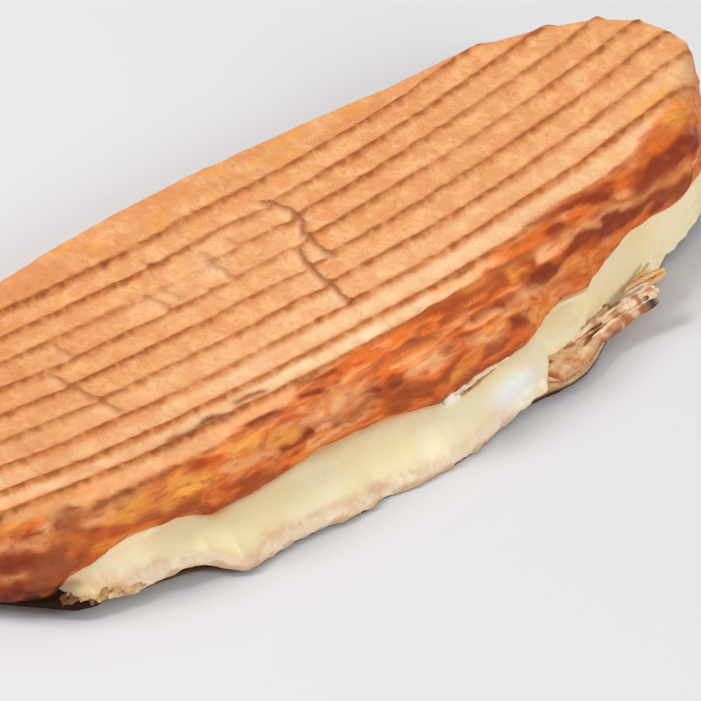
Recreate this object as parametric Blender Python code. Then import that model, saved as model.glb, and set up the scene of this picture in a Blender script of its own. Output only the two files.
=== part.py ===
"""A long bread roll, cut in two, filled with ham and cheese and pressed hot in a ribbed grill.

X runs along the roll, Y across it with the open, cheesy side at -Y, and Z up.
The origin is at the middle of the resting face, below the centre of the whole sandwich.
The layers from the table up are bottom_bread, ham, cheese and top_bread.
"""

import math

import bmesh
import bpy

# The whole sandwich
LENGTH = 0.252
WIDTH = 0.101
PRESSED_HEIGHT = 0.0226
SIDE_BEND = 0.0065
END_LIFT = 0.0055
FLAT_HALF = 0.025
TIP_REACH = 0.999

# The outline seen from above: how far the width is kept, and how the ends round off
FRONT_LEFT = (2.6, 0.50)
FRONT_RIGHT = (1.9, 0.62)
BACK_LEFT = (2.6, 0.50)
BACK_RIGHT = (2.6, 0.40)

# The torn edge of the open side: places along the roll and their distance in from the outline
FRONT_EDGE = (
    (-0.126, 0.0), (-0.112, 0.0010), (-0.107, 0.0), (-0.0985, -0.0016), (-0.0905, 0.0010),
    (-0.083, 0.0014), (-0.078, 0.0018), (-0.0695, 0.0021), (-0.0655, 0.0016), (-0.0602, -0.0016),
    (-0.056, -0.0010), (-0.050, 0.0002), (-0.045, 0.0010), (-0.035, 0.0010), (-0.0245, 0.0003),
    (-0.0203, 0.0016), (-0.0096, 0.0003), (0.0005, 0.0), (0.0109, 0.0008), (0.0169, 0.0017),
    (0.0235, 0.0020), (0.033, 0.0009), (0.036, 0.0), (0.040, -0.0006), (0.045, -0.0006),
    (0.049, 0.0001), (0.054, 0.0016), (0.070, 0.0020), (0.083, 0.0036), (0.088, 0.0040),
    (0.096, 0.0018), (0.104, 0.0001), (0.126, 0.0),
)

# The layers at the middle of the sandwich
LAYER_GAP = 0.0003
TOP_GAP = 0.0007
BOTTOM_THICK = 0.0042
LIP_THICK = 0.0016
LIP_SLOPE = 0.014
HAM_THICK = 0.0018
CHEESE_THICK = 0.0045
CHEESE_RIM = 0.0009

# Where the filling thins out towards the ends, as shares of the half length
FILLING_LEFT = (-0.86, -0.62)
FILLING_RIGHT = (0.55, 0.95)
FILLING_AT_TIP = 0.4
CHEESE_REACH = (-0.83, 0.97)
HAM_REACH = (-0.78, 0.93)

# The lower edge of the top bread at the open side, as distances in from the outline
TOP_EDGE = (
    (-0.126, 0.0015), (-0.108, 0.0020), (-0.096, 0.0050), (-0.080, 0.0068), (-0.069, 0.0095),
    (-0.061, 0.0079), (-0.050, 0.0093), (-0.040, 0.0112), (-0.027, 0.0130), (-0.011, 0.0119),
    (0.0036, 0.0074), (0.012, 0.0088), (0.0235, 0.0084), (0.033, 0.0085), (0.0446, 0.0118),
    (0.049, 0.0118), (0.0565, 0.0086), (0.069, 0.0115), (0.078, 0.0115), (0.087, 0.0085),
    (0.096, 0.0050), (0.104, 0.0022), (0.126, 0.0015),
)

# Edges of the layers, measured in from the open side's edge or from the outline
TOP_LEAST_INSET = 0.0010
TOP_BACK_INSET = 0.0004
CHEESE_INSET = 0.0016
CHEESE_BACK_INSET = 0.0030
CHEESE_RECESS = 0.0050
HAM_INSET = 0.0130
HAM_OUT = 0.0004
HAM_DRAPE = 0.0065
HAM_EDGE_SHARE = 0.5
HAM_AT_TIP = 0.4
HAM_FLAP = (0.031, 0.041, 0.072, 0.082)
EDGE_WAVE = 0.0006
LONG_WAVE, SHORT_WAVE = 0.0062, 0.0037
SHORT_WAVE_SHARE, SHORT_WAVE_SHIFT = 0.7, 1.3

# How the cheese falls from under the top bread to its thin edge, and thins out at the back
APRON_LEAST = 0.002
APRON_POWER = 0.7
REAR_SLOPE = 0.004
REAR_POWER = 0.6

# The dome of the upper half, and the grill's ribs that flatten it, from front to back
CROWN_HEIGHT = 0.0345
DOME_POWER = 2.9
DOME_END_POWER = 20.0
GROOVE_LINES = (
    -0.0333, -0.0259, -0.0195, -0.0116, -0.0035, 0.0046, 0.0127, 0.0207, 0.0282, 0.0358
)
GROOVE_WIDTH = 0.0030
GROOVE_FLOOR = 0.0010
GROOVE_DEPTH = 0.0012
GRILL_REACH = 1.05
GRILL_MARGIN = 0.02

# Fineness of the surfaces
STATIONS = 44
COLUMNS = 20
DOME_STEPS = 24
MERGE = 0.00001

CRUST_COLOUR = (0.76, 0.36, 0.13, 1.0)
CHEESE_COLOUR = (0.87, 0.72, 0.42, 1.0)
HAM_COLOUR = (0.72, 0.38, 0.25, 1.0)
BASE_COLOUR = (0.82, 0.62, 0.38, 1.0)


def lerp(a, b, t):
    return a + (b - a) * t


def smooth(value):
    """0 below 0, 1 above 1, and a soft step between."""
    value = min(1.0, max(0.0, value))
    return value * value * (3.0 - 2.0 * value)


def share(x):
    return 2.0 * x / LENGTH


def between(x, places):
    """Straight runs between a few known places along the roll."""
    for (near, low), (far, high) in zip(places, places[1:]):
        if x <= far:
            return lerp(low, high, (x - near) / (far - near))
    return places[-1][1]


def axis(x):
    """The roll's centre line bends back a little at both ends."""
    return SIDE_BEND * share(x) ** 2


def lift(x):
    """Both ends curl up from the flat stretch that the sandwich rests on."""
    return END_LIFT * (max(0.0, abs(x) - FLAT_HALF) / (LENGTH / 2 - FLAT_HALF)) ** 2


def outline(x, side, power, rounding):
    reach = (1.0 - min(TIP_REACH, abs(share(x))) ** power) ** rounding
    return axis(x) + side * (WIDTH / 2 - side * axis(x)) * reach


def rim(x):
    """The open side's outline before its edge tore."""
    return outline(x, -1.0, *(FRONT_LEFT if x < 0 else FRONT_RIGHT))


def front(x):
    return rim(x) + between(x, FRONT_EDGE)


def back(x):
    return outline(x, 1.0, *(BACK_LEFT if x < 0 else BACK_RIGHT))


def filling(x):
    """Share of the filling's full thickness at x: none at the left end, some at the right."""
    s = share(x)
    left = smooth((s - FILLING_LEFT[0]) / (FILLING_LEFT[1] - FILLING_LEFT[0]))
    right = smooth((s - FILLING_RIGHT[0]) / (FILLING_RIGHT[1] - FILLING_RIGHT[0]))
    return left * (1.0 - (1.0 - FILLING_AT_TIP) * right)


def flap(x):
    """1 over the stretch where the ham sticks out, 0 away from it."""
    rise, full, fall, end = HAM_FLAP
    return smooth((x - rise) / (full - rise)) * (1.0 - smooth((x - fall) / (end - fall)))


def wave(x):
    """The uneven edge of melted cheese and torn bread."""
    short = SHORT_WAVE_SHARE * math.sin(x / SHORT_WAVE + SHORT_WAVE_SHIFT)
    return EDGE_WAVE * (math.sin(x / LONG_WAVE) + short)


def top_front(x):
    return max(rim(x) + between(x, TOP_EDGE), front(x) + TOP_LEAST_INSET)


def top_back(x):
    return back(x) - TOP_BACK_INSET


def narrowing(x):
    """Insets shrink with the width, so that the edges never cross near the tips."""
    return (back(x) - front(x)) / WIDTH


def cheese_front(x):
    inset = CHEESE_INSET + CHEESE_RECESS * flap(x) + wave(x)
    return front(x) + inset * narrowing(x)


def cheese_back(x):
    return back(x) - CHEESE_BACK_INSET * narrowing(x)


def ham_front(x):
    inset = HAM_INSET + (HAM_OUT - HAM_INSET) * flap(x)
    return front(x) + inset * narrowing(x)


def ham_back(x):
    return back(x) - HAM_INSET * narrowing(x)


def columns(x):
    """Places across the roll at x, crowded towards the edges and shared by all the layers."""
    steps = [0.5 - 0.5 * math.cos(math.pi * i / COLUMNS) for i in range(COLUMNS + 1)]
    return [lerp(front(x), back(x), step) for step in steps]


def straight(height):
    """Makes a height run straight from column to column, so that layers stay parallel."""

    def between(x, y):
        places = columns(x)
        cells = list(zip(places, places[1:]))
        near, far = next((cell for cell in cells if y <= cell[1]), cells[-1])
        return lerp(height(x, near), height(x, far), (y - near) / (far - near))

    return between


@straight
def bottom_over(x, y):
    """Upper face of the bottom bread: full thickness inside, a thin lip at its edge."""
    edge = min(y - front(x), back(x) - y)
    return LIP_THICK + (BOTTOM_THICK - LIP_THICK) * smooth(edge / LIP_SLOPE)


def ham_under(x, y):
    return bottom_over(x, y) + LAYER_GAP


@straight
def ham_over(x, y):
    edge = min(y - ham_front(x), ham_back(x) - y)
    body = lerp(HAM_EDGE_SHARE, 1.0, smooth(edge / HAM_THICK + 0.5))
    return ham_under(x, y) + HAM_THICK * body * lerp(HAM_AT_TIP, 1.0, filling(x))


@straight
def cheese_under(x, y):
    """The cheese lies on the ham and, past the ham's edge, sags on to the bread."""
    nearest = min(ham_front(x + shift) for shift in (-HAM_DRAPE, 0.0, HAM_DRAPE))
    on_ham = smooth(min(y - nearest, ham_back(x) - y) / HAM_DRAPE + 2.0)
    ham = (LAYER_GAP + HAM_THICK) * lerp(HAM_AT_TIP, 1.0, filling(x))
    return bottom_over(x, y) + 2 * LAYER_GAP + ham * on_ham


@straight
def cheese_over(x, y):
    """Full thickness under the top bread, and a drape from its edge down to the lip."""
    apron = max(APRON_LEAST, top_front(x) - cheese_front(x))
    fall = min(1.0, max(0.0, (y - cheese_front(x)) / apron)) ** APRON_POWER
    rear = min(1.0, max(0.0, (cheese_back(x) - y) / REAR_SLOPE)) ** REAR_POWER
    full = BOTTOM_THICK + HAM_THICK + CHEESE_THICK + 3 * LAYER_GAP
    low = cheese_under(x, y) + CHEESE_RIM
    high = low + (full - BOTTOM_THICK - CHEESE_RIM) * filling(x)
    return low + (max(low, high) - low) * fall * rear


def top_under(x, y):
    """Lower face of the top bread: on the cheese, or on the bottom bread at the left end."""
    inside = min(max(y, top_front(x)), cheese_back(x) - REAR_SLOPE * narrowing(x))
    covered = CHEESE_REACH[0] < share(x) < CHEESE_REACH[1]
    carried = cheese_over(x, inside) if covered else bottom_over(x, inside) + LAYER_GAP
    return max(carried, bottom_over(x, y) + LAYER_GAP) + TOP_GAP


def stations(first, last):
    """Places along X, crowded towards both tips, that lie between two shares of the length."""
    steps = [-math.cos(math.pi * i / STATIONS) for i in range(STATIONS + 1)]
    return [step * TIP_REACH * LENGTH / 2 for step in steps if first <= step <= last]


def loft(name, places, section):
    """Joins the closed rings section(x) at each place into one solid with flat ends."""
    mesh = bmesh.new()
    rings = [[mesh.verts.new((x, y, z + lift(x))) for y, z in section(x)] for x in places]
    count = len(rings[0])
    for ring, following in zip(rings, rings[1:]):
        for i in range(count):
            j = (i + 1) % count
            mesh.faces.new((ring[i], ring[j], following[i]))
            mesh.faces.new((ring[j], following[j], following[i]))
    for ring in (rings[0], rings[-1]):
        mesh.faces.new(ring)
    bmesh.ops.remove_doubles(mesh, verts=mesh.verts, dist=MERGE)
    bmesh.ops.triangulate(mesh, faces=mesh.faces)
    bmesh.ops.recalc_face_normals(mesh, faces=mesh.faces)
    data = bpy.data.meshes.new(name)
    mesh.to_mesh(data)
    mesh.free()
    return bpy.data.objects.new(name, data)


def held(x, low_y, high_y):
    """The shared columns, with those beyond a layer's edges drawn in to its edges."""
    return [min(high_y, max(low_y, y)) for y in columns(x)]


def slab_section(x, low_y, high_y, under, over):
    """A ring that runs along the upper face to the back and returns along the lower one."""
    across = held(x, low_y, high_y)
    upper = [(y, over(x, y)) for y in across]
    lower = [(y, under(x, y)) for y in reversed(across)]
    return upper + lower


def material(name, colour, roughness):
    made = bpy.data.materials.new(name)
    made.use_nodes = True
    shader = made.node_tree.nodes["Principled BSDF"]
    shader.inputs["Base Color"].default_value = colour
    shader.inputs["Roughness"].default_value = roughness
    return made


def bottom_bread():
    def section(x):
        return slab_section(x, front(x), back(x), lambda x, y: 0.0, bottom_over)

    return loft("bottom_bread", stations(-1.0, 1.0), section)


def ham():
    def section(x):
        return slab_section(x, ham_front(x), ham_back(x), ham_under, ham_over)

    return loft("ham", stations(*HAM_REACH), section)


def cheese():
    def section(x):
        return slab_section(x, cheese_front(x), cheese_back(x), cheese_under, cheese_over)

    return loft("cheese", stations(*CHEESE_REACH), section)


def dome_section(x):
    """The upper half before pressing: a superellipse above its own flat lower face."""
    low_y, high_y = top_front(x), top_back(x)
    end = (1.0 - abs(share(x)) ** DOME_END_POWER) ** (1.0 / DOME_END_POWER)
    angles = [math.pi * i / DOME_STEPS for i in range(1, DOME_STEPS)]
    upper = []
    for angle in angles:
        across = math.copysign(abs(math.cos(angle)) ** (2.0 / DOME_POWER), -math.cos(angle))
        y = lerp(low_y, high_y, 0.5 + 0.5 * across)
        rise = math.sin(angle) ** (2.0 / DOME_POWER)
        base = lerp(top_under(x, low_y), top_under(x, high_y), 0.5 + 0.5 * across)
        upper.append((y, lerp(base, CROWN_HEIGHT, end * rise)))
    lower = reversed(held(x, low_y, high_y))
    return upper + [(y, top_under(x, y)) for y in lower]


def grill_section(x):
    """The space under the hot ribbed plate: flat lands, and a groove at every rib."""
    side = WIDTH / 2 + GRILL_MARGIN
    profile = [(-side, PRESSED_HEIGHT)]
    for line in GROOVE_LINES:
        profile += [
            (line - GROOVE_WIDTH / 2, PRESSED_HEIGHT),
            (line - GROOVE_FLOOR / 2, PRESSED_HEIGHT - GROOVE_DEPTH),
            (line + GROOVE_FLOOR / 2, PRESSED_HEIGHT - GROOVE_DEPTH),
            (line + GROOVE_WIDTH / 2, PRESSED_HEIGHT),
        ]
    profile.append((side, PRESSED_HEIGHT))
    floor = [(side, -GRILL_MARGIN), (-side, -GRILL_MARGIN)]
    return [(y + axis(x), z) for y, z in profile + floor]


def top_bread(helpers):
    """The dome, kept only where the closed grill leaves room for it."""
    dome = loft("top_bread", stations(-1.0, 1.0), dome_section)
    grill = loft("grill_space", [x * GRILL_REACH for x in stations(-1.0, 1.0)], grill_section)
    helpers.objects.link(grill)
    grill.hide_render = True
    grill.display_type = "WIRE"
    press = dome.modifiers.new("press", "BOOLEAN")
    press.operation = "INTERSECT"
    press.object = grill
    return dome


def main():
    for obj in list(bpy.data.objects):
        bpy.data.objects.remove(obj)
    sandwich = bpy.data.collections.new("toasted_sandwich")
    helpers = bpy.data.collections.new("helpers")
    for group in (sandwich, helpers):
        bpy.context.scene.collection.children.link(group)
    crust = material("golden_crust", CRUST_COLOUR, 0.6)
    melted = material("melted_cheese", CHEESE_COLOUR, 0.3)
    cured = material("cooked_ham", HAM_COLOUR, 0.45)
    pale = material("pressed_base", BASE_COLOUR, 0.7)
    pieces = ((bottom_bread(), pale), (ham(), cured), (cheese(), melted), (top_bread(helpers), crust))
    for piece, finish in pieces:
        piece.data.materials.append(finish)
        sandwich.objects.link(piece)


main()
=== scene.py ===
import math

import bpy
import numpy as np
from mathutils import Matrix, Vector


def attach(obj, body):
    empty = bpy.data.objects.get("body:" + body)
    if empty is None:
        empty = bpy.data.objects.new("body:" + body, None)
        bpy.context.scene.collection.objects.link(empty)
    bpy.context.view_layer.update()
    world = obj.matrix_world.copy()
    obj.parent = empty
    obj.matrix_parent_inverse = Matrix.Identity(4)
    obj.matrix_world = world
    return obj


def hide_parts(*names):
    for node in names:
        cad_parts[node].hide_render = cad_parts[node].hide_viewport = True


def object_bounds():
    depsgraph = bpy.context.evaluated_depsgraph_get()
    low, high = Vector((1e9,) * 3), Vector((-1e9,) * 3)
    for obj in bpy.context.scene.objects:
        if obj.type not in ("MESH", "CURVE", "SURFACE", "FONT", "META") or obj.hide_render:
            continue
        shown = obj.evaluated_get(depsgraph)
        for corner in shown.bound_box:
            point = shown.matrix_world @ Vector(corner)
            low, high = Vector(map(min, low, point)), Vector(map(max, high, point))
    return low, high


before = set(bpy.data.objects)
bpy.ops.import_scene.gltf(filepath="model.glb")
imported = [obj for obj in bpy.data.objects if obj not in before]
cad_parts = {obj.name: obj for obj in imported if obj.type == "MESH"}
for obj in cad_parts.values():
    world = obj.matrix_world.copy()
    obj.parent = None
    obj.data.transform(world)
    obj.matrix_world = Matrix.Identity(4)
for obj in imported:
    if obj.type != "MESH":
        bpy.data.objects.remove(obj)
cad_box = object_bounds()

# ------------------------------------------------------------
# Bottom bread: the lower half of the roll, a thin soft slab pressed flat by the grill. It was
# baked as part of the roll, cut open along one side and browned again where it met the hot plate.

half_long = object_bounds()[1][0]
half_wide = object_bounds()[1][1]
side_bend = 0.0065
end_lift = 0.0055
flat_half = 0.025
# Power and rounding of the outline's four quarters.
front_left, front_right = (2.6, 0.5), (1.9, 0.62)
back_left, back_right = (2.6, 0.5), (2.6, 0.4)
base_thick, base_lip, base_slope = 0.0042, 0.0016, 0.014
rim_pressed, rim_width, brim_width = 0.001, 0.006, 0.0014
# The torn edge: places along the roll in m, and how far in from the outline in mm.
front_edge = (
    (-0.126, 0.0), (-0.112, 1.0), (-0.107, 0.0), (-0.103, -1.4), (-0.0985, -1.9), (-0.094, -1.0),
    (-0.0905, 1.0), (-0.083, 1.4), (-0.078, 1.8), (-0.0695, 2.1), (-0.0655, 1.6), (-0.0628, -0.6),
    (-0.0602, -2.0), (-0.056, -1.0), (-0.05, 0.2), (-0.045, 1.0), (-0.035, 1.0), (-0.0296, 0.3),
    (-0.0245, 0.3), (-0.0203, 1.6), (-0.015, 1.1), (-0.0096, 0.3), (0.0005, 0.0), (0.0056, 0.3),
    (0.0109, 0.8), (0.0169, 1.7), (0.0235, 2.0), (0.029, 1.6), (0.033, 0.9), (0.036, 0.0),
    (0.04, -0.6), (0.045, -0.6), (0.049, 0.1), (0.054, 1.6), (0.057, 2.4), (0.061, 3.6),
    (0.066, 3.8), (0.072, 2.8), (0.083, 3.6), (0.088, 4.0), (0.092, 3.0), (0.096, 1.8),
    (0.101, 0.8), (0.106, 0.0), (0.112, -0.6), (0.118, -1.6), (0.123, -1.8), (0.126, 0.0),
)
# Stretches of the rim that curled up: middle, spread and rise in m.
curls = ((-0.0715, 0.0085, 0.003), (-0.036, 0.014, 0.0008), (0.03, 0.014, 0.002),
         (0.06, 0.014, 0.0014))
curl_reach = 0.011


def held(value):
    """The value, cut off below 0 and above 1."""
    return np.clip(value, 0.0, 1.0)


def soft(value):
    """A smooth step: 0 below 0, 1 above 1 and a cubic ease between."""
    value = held(value)
    return value * value * (3.0 - 2.0 * value)


def bump(value, middle, spread):
    """A bell curve around the middle."""
    return np.exp(-(((value - middle) / spread) ** 2))


def share(x):
    """Place along the roll as a share of its half length, kept just short of the tips."""
    return np.clip(x / half_long, -0.999999, 0.999999)


def centre_line(x):
    """The roll bends back in a parabola towards both ends."""
    return side_bend * share(x) ** 2


def lift(x):
    """Height of the underside: flat in the middle, rising with the square beyond it."""
    return end_lift * (np.maximum(0.0, np.abs(x) - flat_half) / (half_long - flat_half)) ** 2


def outline(x, side, left, right):
    """Edge seen from above: the half width times (1 - share^power)^rounding, off the centre line."""
    power = np.where(x < 0, left[0], right[0])
    rounding = np.where(x < 0, left[1], right[1])
    reach = (1.0 - np.abs(share(x)) ** power) ** rounding
    return centre_line(x) + side * (half_wide - side * centre_line(x)) * reach


def rim(x):
    """The open side's outline before its edge tore."""
    return outline(x, -1.0, front_left, front_right)


def line(x, places):
    """Straight runs between a few places along the roll, with their values given in mm."""
    stations, values = zip(*places)
    return 0.001 * np.interp(x, stations, values)


def front(x):
    """The open side's torn edge: the rim moved in or out by what its places say."""
    return rim(x) + line(x, front_edge)


def back(x):
    """The uncut side's edge, seen from above."""
    return outline(x, 1.0, back_left, back_right)


def narrowing(x):
    """Width of the roll at x as a share of its full width."""
    return (back(x) - front(x)) / (2 * half_wide)


def curl(x):
    """Rise of the thin front rim: a low bell for each stretch that curled up in the grill."""
    return sum(rise * bump(x, middle, spread) for middle, spread, rise in curls)


def covered(x):
    """1 along both stretches of the open side where melted cheese hangs over the bread's rim."""
    long_stretch = soft((x + 0.096) / 0.006) * (1.0 - soft((x - 0.026) / 0.008))
    return long_stretch + soft((x - 0.076) / 0.006) * (1.0 - soft((x - 0.104) / 0.008))


def base_over(x, y):
    """Upper face of the bottom bread: a thin lip, thicker inwards, with its front rim curled up."""
    edge = np.minimum(y - front(x), back(x) - y)
    slab = base_lip + (base_thick - base_lip) * soft(edge / base_slope)
    slab -= rim_pressed * covered(x) * (1.0 - soft((y - front(x)) / rim_width))
    return slab + curl(x) * (1.0 - soft((y - front(x)) / curl_reach))


def row(count, stop=1.0):
    """Even steps from 0 to the stop, as a row."""
    return np.linspace(0.0, stop, count)[None, :]


def along(count, first=-1.0, last=1.0):
    """Places along the roll as a column: even in the middle and crowded at the tips."""
    even = np.linspace(first, last, count)
    if first > -1.0 and last < 1.0:
        return even[:, None] * half_long
    tip = 1.0 - np.linspace(0.015, 1.0, 14) ** 2 * (even[1] - even[0])
    return np.concatenate([-tip, even[1:-1], tip[::-1]])[:, None] * half_long


def grain(points, size, seed):
    """Soft random hills from -1 to 1: random values on a cubic lattice, eased between corners."""
    lattice = np.random.default_rng(seed).uniform(-1.0, 1.0, (32, 32, 32))
    cell = points / np.asarray(size) + 1000.0
    corner = np.floor(cell).astype(int)
    near = soft(cell - corner)
    total = 0.0
    for step in np.ndindex(2, 2, 2):
        weight = np.prod(np.where(np.array(step) == 1, near, 1.0 - near), axis=-1)
        place = (corner + step) % 32
        total += weight * lattice[place[..., 0], place[..., 1], place[..., 2]]
    return total


def mottle(points, size, layers, seed):
    """Several sheets of grain, each half as coarse and half as strong as the one before."""
    size = np.asarray(size, dtype=float)
    return sum(grain(points, size / 2**i, seed + i) / 2**i for i in range(layers))


def around(upper, lower):
    """Values once round a layer: its upper face from front to back, then its lower face back again."""
    return np.concatenate([upper, lower[:, ::-1]], axis=1)


def rings(x, y, z):
    """A grid of points: for each place x along the roll, one ring of y and z."""
    return np.stack([np.broadcast_to(x, y.shape), y, z], axis=-1)


def on_axis(x):
    """Points on the roll's long axis, for hills that vary along it only."""
    return np.stack([x, 0.0 * x, 0.0 * x], axis=-1)


def facing(grid):
    """Outward direction at every point: the cross product of the steps along and around."""
    around = np.roll(grid, -1, axis=1) - np.roll(grid, 1, axis=1)
    lengthwise = np.gradient(grid, axis=0)
    turned = np.cross(around, lengthwise)
    return turned / (np.linalg.norm(turned, axis=-1, keepdims=True) + 1e-12)


def skin(name, bodies, finish):
    """One piece of closed bodies: grids of rings joined by quads, a fan over each end, named masks."""
    points, faces, masks = [], [], {}
    start = 0
    for grid, words in bodies:
        rows, columns = grid.shape[:2]
        ends = np.stack([grid[0].mean(axis=0), grid[-1].mean(axis=0)])
        corners = np.clip(np.concatenate([grid.reshape(-1, 3), ends]), *np.array(cad_box))
        here = np.arange(rows * columns).reshape(rows, columns)
        beside = np.roll(here, -1, axis=1)
        quads = np.stack([here[:-1], here[1:], beside[1:], beside[:-1]], axis=-1).reshape(-1, 4)
        first = np.stack([here[0], beside[0], np.full(columns, rows * columns)], axis=-1)
        last = np.stack([beside[-1], here[-1], np.full(columns, rows * columns + 1)], axis=-1)
        corner = corners[quads] - corners.mean(axis=0)
        if np.einsum("ij,ij->i", corner[:, 0], np.cross(corner[:, 1], corner[:, 2])).sum() < 0:
            quads, first, last = quads[:, ::-1], first[:, ::-1], last[:, ::-1]
        for group in (quads, first, last):
            faces += (group + start).tolist()
        for word, values in words.items():
            flat = np.broadcast_to(values, (rows, columns)).reshape(-1)
            tips = [flat[:columns].mean(), flat[-columns:].mean()]
            masks.setdefault(word, []).append(np.concatenate([flat, tips]))
        points.append(corners)
        start += len(corners)
    mesh = bpy.data.meshes.new(name)
    mesh.from_pydata(np.concatenate(points).tolist(), [], faces)
    for word, values in masks.items():
        layer = mesh.attributes.new(word, "FLOAT", "POINT")
        layer.data.foreach_set("value", np.concatenate(values).astype(np.float32))
    mesh.shade_smooth()
    mesh.materials.append(finish)
    piece = bpy.data.objects.new(name, mesh)
    bpy.context.scene.collection.objects.link(piece)
    return piece


def sockets(node, **values):
    """Plain values put on a node's sockets; an underscore in a name stands for a space."""
    for name, value in values.items():
        node.inputs[name.replace("_", " ")].default_value = value
    return node


class Finish:
    """A material built up in steps on one Principled shader."""

    def __init__(self, name, **values):
        self.made = bpy.data.materials.new(name)
        self.made.use_nodes = True
        self.nodes = self.made.node_tree.nodes
        self.links = self.made.node_tree.links
        self.shader = sockets(self.nodes["Principled BSDF"], **values)
        self.place = self.nodes.new("ShaderNodeTexCoord").outputs["Object"]
        self.colour = None

    def start(self, colour):
        """The colour that lies under all others."""
        base = self.nodes.new("ShaderNodeRGB")
        base.outputs[0].default_value = (*colour, 1.0)
        self.colour = base.outputs[0]

    def mask(self, word):
        """An amount that the mesh carries at its points, by its name."""
        source = self.nodes.new("ShaderNodeAttribute")
        source.attribute_name = word
        return source.outputs["Fac"]

    def noise(self, size, detail=3.0, stretch=(1.0, 1.0, 1.0)):
        """Cloudy noise from 0 to 1 with blotches of the given size."""
        turned = sockets(self.nodes.new("ShaderNodeMapping"), Scale=stretch)
        self.links.new(self.place, turned.inputs["Vector"])
        noise = sockets(self.nodes.new("ShaderNodeTexNoise"), Scale=1.0 / size, Detail=detail)
        self.links.new(turned.outputs["Vector"], noise.inputs["Vector"])
        return noise.outputs["Fac"]

    def between(self, amount, low, high):
        """A soft step of an amount, from 0 at low to 1 at high; low may be the larger."""
        ramp = self.nodes.new("ShaderNodeMapRange")
        ramp.interpolation_type = "SMOOTHSTEP"
        sockets(ramp, From_Min=min(low, high), From_Max=max(low, high))
        sockets(ramp, To_Min=float(low > high), To_Max=float(low < high))
        self.links.new(amount, ramp.inputs["Value"])
        return ramp.outputs["Result"]

    def speckle(self, size, low, high, detail=3.0, stretch=(1.0, 1.0, 1.0)):
        """Blotches of noise, cut off softly between low and high."""
        return self.between(self.noise(size, detail, stretch), low, high)

    def times(self, first, *others, operation="MULTIPLY"):
        """Amounts joined one after another by a sum; any but the first may be a plain number."""
        for other in others:
            joined = self.nodes.new("ShaderNodeMath")
            joined.operation = operation
            self.links.new(first, joined.inputs[0])
            if isinstance(other, float):
                joined.inputs[1].default_value = other
            else:
                self.links.new(other, joined.inputs[1])
            first = joined.outputs[0]
        return first

    def tint(self, colour, amount):
        """Lays a colour over what is there by an amount that varies over the surface."""
        mix = self.nodes.new("ShaderNodeMix")
        mix.data_type = "RGBA"
        mix.clamp_factor = True
        self.links.new(amount, mix.inputs["Factor"])
        self.links.new(self.colour, mix.inputs["A"])
        mix.inputs["B"].default_value = (*colour, 1.0)
        self.colour = mix.outputs["Result"]

    def dapple(self, colour, strength, size, low, high, detail=3.0):
        """Lays a colour over what is there in blotches, at a share of its full strength."""
        self.tint(colour, self.times(self.speckle(size, low, high, detail), strength))

    def paint(self, colour, word):
        """Lays a colour over what is there by the amount that the mesh carries under a name."""
        self.tint(colour, self.mask(word))

    def relief(self, height, distance, strength=1.0):
        """Adds a bump over the bumps that are there."""
        raised = sockets(self.nodes.new("ShaderNodeBump"), Distance=distance, Strength=strength)
        self.links.new(height, raised.inputs["Height"])
        before = self.shader.inputs["Normal"]
        if before.is_linked:
            self.links.new(before.links[0].from_socket, raised.inputs["Normal"])
        self.links.new(raised.outputs["Normal"], before)

    def shine(self, amount, low, high):
        """Roughness that runs from low to high with the amount."""
        spread = sockets(self.nodes.new("ShaderNodeMapRange"), To_Min=low, To_Max=high)
        self.links.new(amount, spread.inputs["Value"])
        self.links.new(spread.outputs["Result"], self.shader.inputs["Roughness"])

    def done(self):
        """Joins the colour to the shader and hands the material over."""
        self.links.new(self.colour, self.shader.inputs["Base Color"])
        return self.made


base_finish = Finish("pressed_bread", Roughness=0.65, Specular_IOR_Level=0.15)
base_finish.start((0.95, 0.56, 0.27))
base_finish.tint((0.97, 0.69, 0.41), base_finish.speckle(0.005, 0.35, 0.65))
base_finish.paint((0.4, 0.17, 0.055), "toasted")
# Near black: the charred left end, and the underside, blackest at the brim, where its thin visible
# lower edge is partly charred bread and partly painted contact shadow.
base_finish.paint((0.026, 0.007, 0.003), "charred")
base_finish.relief(base_finish.speckle(0.0008, 0.2, 0.8), 0.0004, 0.9)

x = along(300)
steps = row(41)
base_front = front(x) + 0.0004 * covered(x) + 0.0015 * soft((-0.099 - x) / 0.005) * narrowing(x)
y = base_front + (back(x) - base_front) * (0.5 - 0.5 * np.cos(np.pi * steps))
near = y - base_front
edge = np.minimum(near, back(x) - y)
over = base_over(x, y) - 0.0003 * (1.0 - soft(edge / 0.004))
under = curl(x) * (1.0 - soft(near / 0.0016))
base_grid = rings(x, around(y, y), around(over, under) + lift(x))
base_grid += facing(base_grid) * 0.00012 * grain(base_grid, 0.003, 3)[..., None]
brim = 1.0 - soft(edge / brim_width)
left_end = soft((-0.089 - x) / 0.004)
base_masks = {
    "toasted": around(brim * (0.15 + 0.8 * covered(x)), 0.9 + 0.0 * y),
    # The underside's dark lower edge: partly charred bread, partly painted contact shadow under the
    # rim.
    "charred": around(left_end + 0.0 * y, held(brim + 0.35)),
}
base_bread = skin("base_bread", [(base_grid, base_masks)], base_finish.done())
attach(base_bread, "root")
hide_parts("bottom_bread")

# ------------------------------------------------------------
# Ham: cooked slices laid on the bottom bread. Their ruffled edges stick out at one stretch of the
# open side, where the grill browned them and curled them up.

ham_thick = 0.0018
ham_gap = 0.0003
ham_inset, ham_out = 0.013, 0.0006
flap_rise, flap_full, flap_fall, flap_end = 0.031, 0.037, 0.06, 0.07
ham_reach = (-0.78, 0.93)


def flap(x):
    """1 where the ham sticks out, with soft steps at both ends of that stretch."""
    rise = soft((x - flap_rise) / (flap_full - flap_rise))
    return rise * (1.0 - soft((x - flap_fall) / (flap_end - flap_fall)))


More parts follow.
